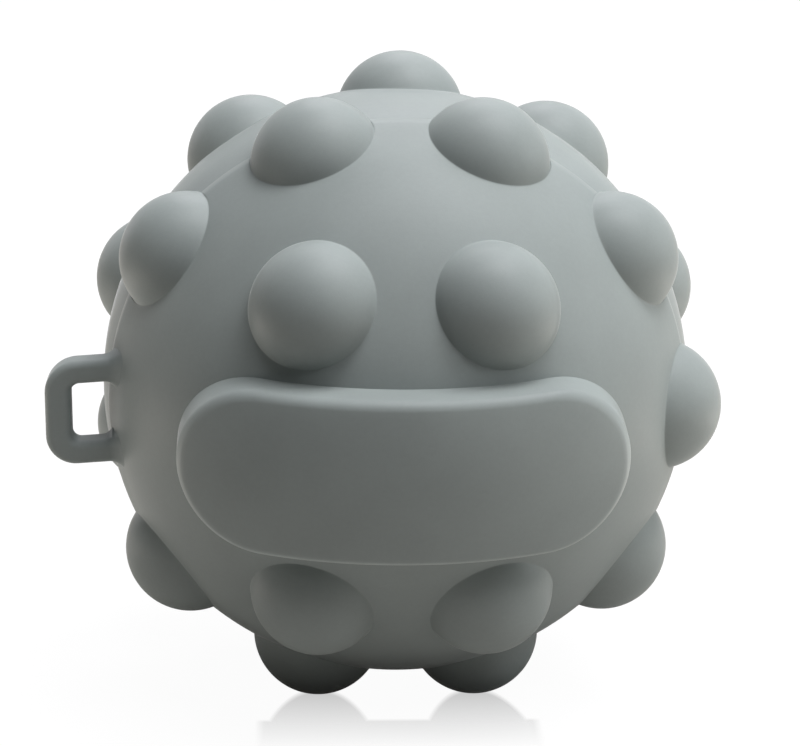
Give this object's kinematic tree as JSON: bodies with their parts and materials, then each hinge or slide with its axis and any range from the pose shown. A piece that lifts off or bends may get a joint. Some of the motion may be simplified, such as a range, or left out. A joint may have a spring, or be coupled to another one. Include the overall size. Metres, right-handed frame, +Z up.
{
  "type": "pop fidget ball",
  "caption": "Hollow soft silicone ball with domes all over that a finger pops inwards and back, a blank raised pad on the front and a strap loop at the side.",
  "frame": {"origin": "on the floor, under the middle of the part's bounding box, with the ball resting on the two lowest domes of the outer front ring and the lowest dome of the outer rear ring", "axes": "+Z up, -Y towards the front where the blank pad is, +X to the right of someone who looks at the front, so the strap loop is on -X"},
  "size_m": [0.075, 0.0746, 0.0719],
  "materials": {
    "shell_silicone": "matt moulded grey silicone",
    "dome_silicone": "matt moulded grey silicone, thin",
    "pad_silicone": "matt moulded grey silicone",
    "loop_silicone": "matt moulded grey silicone"
  },
  "bodies": {
    "ball": {"front_shell": "shell_silicone", "rear_shell": "shell_silicone", "front_pad": "pad_silicone", "strap_loop": "loop_silicone"},
    "front_dome_1": {"front_dome_1": "dome_silicone"},
    "front_dome_2": {"front_dome_2": "dome_silicone"},
    "front_dome_3": {"front_dome_3": "dome_silicone"},
    "front_dome_4": {"front_dome_4": "dome_silicone"},
    "fore_dome_1": {"fore_dome_1": "dome_silicone"},
    "fore_dome_2": {"fore_dome_2": "dome_silicone"},
    "fore_dome_3": {"fore_dome_3": "dome_silicone"},
    "fore_dome_4": {"fore_dome_4": "dome_silicone"},
    "fore_dome_5": {"fore_dome_5": "dome_silicone"},
    "fore_dome_6": {"fore_dome_6": "dome_silicone"},
    "fore_dome_7": {"fore_dome_7": "dome_silicone"},
    "fore_dome_8": {"fore_dome_8": "dome_silicone"},
    "fore_dome_9": {"fore_dome_9": "dome_silicone"},
    "aft_dome_1": {"aft_dome_1": "dome_silicone"},
    "aft_dome_2": {"aft_dome_2": "dome_silicone"},
    "aft_dome_3": {"aft_dome_3": "dome_silicone"},
    "aft_dome_4": {"aft_dome_4": "dome_silicone"},
    "aft_dome_5": {"aft_dome_5": "dome_silicone"},
    "aft_dome_6": {"aft_dome_6": "dome_silicone"},
    "aft_dome_7": {"aft_dome_7": "dome_silicone"},
    "aft_dome_8": {"aft_dome_8": "dome_silicone"},
    "aft_dome_9": {"aft_dome_9": "dome_silicone"},
    "aft_dome_10": {"aft_dome_10": "dome_silicone"},
    "rear_dome_1": {"rear_dome_1": "dome_silicone"},
    "rear_dome_2": {"rear_dome_2": "dome_silicone"},
    "rear_dome_3": {"rear_dome_3": "dome_silicone"},
    "rear_dome_4": {"rear_dome_4": "dome_silicone"},
    "rear_dome_5": {"rear_dome_5": "dome_silicone"},
    "rear_dome_6": {"rear_dome_6": "dome_silicone"},
    "rear_pole_dome": {"rear_pole_dome": "dome_silicone"}
  },
  "joints": [
    {"name": "front_dome_1_pop", "type": "slide", "parent": "ball", "child": "front_dome_1", "axis": [-0.2974, 0.8413, -0.4514], "range_m": [0, 0.00997]},
    {"name": "front_dome_2_pop", "type": "slide", "parent": "ball", "child": "front_dome_2", "axis": [-0.2974, 0.7616, 0.5758], "range_m": [0, 0.00997]},
    {"name": "front_dome_3_pop", "type": "slide", "parent": "ball", "child": "front_dome_3", "axis": [0.2974, 0.7616, 0.5758], "range_m": [0, 0.00997]},
    {"name": "front_dome_4_pop", "type": "slide", "parent": "ball", "child": "front_dome_4", "axis": [0.2974, 0.8413, -0.4514], "range_m": [0, 0.00997]},
    {"name": "fore_dome_1_pop", "type": "slide", "parent": "ball", "child": "fore_dome_1", "axis": [-0.2947, 0.37, -0.881], "range_m": [0, 0.00997]},
    {"name": "fore_dome_2_pop", "type": "slide", "parent": "ball", "child": "fore_dome_2", "axis": [-0.7716, 0.3432, -0.5356], "range_m": [0, 0.00997]},
    {"name": "fore_dome_3_pop", "type": "slide", "parent": "ball", "child": "fore_dome_3", "axis": [-0.9537, 0.2998, 0.0233], "range_m": [0, 0.00997]},
    {"name": "fore_dome_4_pop", "type": "slide", "parent": "ball", "child": "fore_dome_4", "axis": [-0.7716, 0.2564, 0.5822], "range_m": [0, 0.00997]},
    {"name": "fore_dome_5_pop", "type": "slide", "parent": "ball", "child": "fore_dome_5", "axis": [-0.2947, 0.2296, 0.9276], "range_m": [0, 0.00997]},
    {"name": "fore_dome_6_pop", "type": "slide", "parent": "ball", "child": "fore_dome_6", "axis": [0.2947, 0.2296, 0.9276], "range_m": [0, 0.00997]},
    {"name": "fore_dome_7_pop", "type": "slide", "parent": "ball", "child": "fore_dome_7", "axis": [0.7716, 0.2564, 0.5822], "range_m": [0, 0.00997]},
    {"name": "fore_dome_8_pop", "type": "slide", "parent": "ball", "child": "fore_dome_8", "axis": [0.7716, 0.3432, -0.5356], "range_m": [0, 0.00997]},
    {"name": "fore_dome_9_pop", "type": "slide", "parent": "ball", "child": "fore_dome_9", "axis": [0.2947, 0.37, -0.881], "range_m": [0, 0.00997]},
    {"name": "aft_dome_1_pop", "type": "slide", "parent": "ball", "child": "aft_dome_1", "axis": [-0.0183, -0.226, -0.974], "range_m": [0, 0.00997]},
    {"name": "aft_dome_2_pop", "type": "slide", "parent": "ball", "child": "aft_dome_2", "axis": [-0.5753, -0.2409, -0.7817], "range_m": [0, 0.00997]},
    {"name": "aft_dome_3_pop", "type": "slide", "parent": "ball", "child": "aft_dome_3", "axis": [-0.9125, -0.2784, -0.2997], "range_m": [0, 0.00997]},
    {"name": "aft_dome_4_pop", "type": "slide", "parent": "ball", "child": "aft_dome_4", "axis": [-0.9012, -0.324, 0.2879], "range_m": [0, 0.00997]},
    {"name": "aft_dome_5_pop", "type": "slide", "parent": "ball", "child": "aft_dome_5", "axis": [-0.5457, -0.3603, 0.7566], "range_m": [0, 0.00997]},
    {"name": "aft_dome_6_pop", "type": "slide", "parent": "ball", "child": "aft_dome_6", "axis": [0.0183, -0.3736, 0.9274], "range_m": [0, 0.00997]},
    {"name": "aft_dome_7_pop", "type": "slide", "parent": "ball", "child": "aft_dome_7", "axis": [0.5753, -0.3587, 0.7351], "range_m": [0, 0.00997]},
    {"name": "aft_dome_8_pop", "type": "slide", "parent": "ball", "child": "aft_dome_8", "axis": [0.9125, -0.3213, 0.2531], "range_m": [0, 0.00997]},
    {"name": "aft_dome_9_pop", "type": "slide", "parent": "ball", "child": "aft_dome_9", "axis": [0.9012, -0.2757, -0.3344], "range_m": [0, 0.00997]},
    {"name": "aft_dome_10_pop", "type": "slide", "parent": "ball", "child": "aft_dome_10", "axis": [0.5457, -0.2393, -0.8031], "range_m": [0, 0.00997]},
    {"name": "rear_dome_1_pop", "type": "slide", "parent": "ball", "child": "rear_dome_1", "axis": [-0.0114, -0.7554, -0.6551], "range_m": [0, 0.00997]},
    {"name": "rear_dome_2_pop", "type": "slide", "parent": "ball", "child": "rear_dome_2", "axis": [-0.5207, -0.7792, -0.3488], "range_m": [0, 0.00997]},
    {"name": "rear_dome_3_pop", "type": "slide", "parent": "ball", "child": "rear_dome_3", "axis": [-0.5093, -0.8252, 0.2441], "range_m": [0, 0.00997]},
    {"name": "rear_dome_4_pop", "type": "slide", "parent": "ball", "child": "rear_dome_4", "axis": [0.0114, -0.8475, 0.5307], "range_m": [0, 0.00997]},
    {"name": "rear_dome_5_pop", "type": "slide", "parent": "ball", "child": "rear_dome_5", "axis": [0.5207, -0.8237, 0.2244], "range_m": [0, 0.00997]},
    {"name": "rear_dome_6_pop", "type": "slide", "parent": "ball", "child": "rear_dome_6", "axis": [0.5093, -0.7777, -0.3685], "range_m": [0, 0.00997]},
    {"name": "rear_pole_dome_pop", "type": "slide", "parent": "ball", "child": "rear_pole_dome", "axis": [0, -0.997, -0.0774], "range_m": [0, 0.00997]}
  ]
}
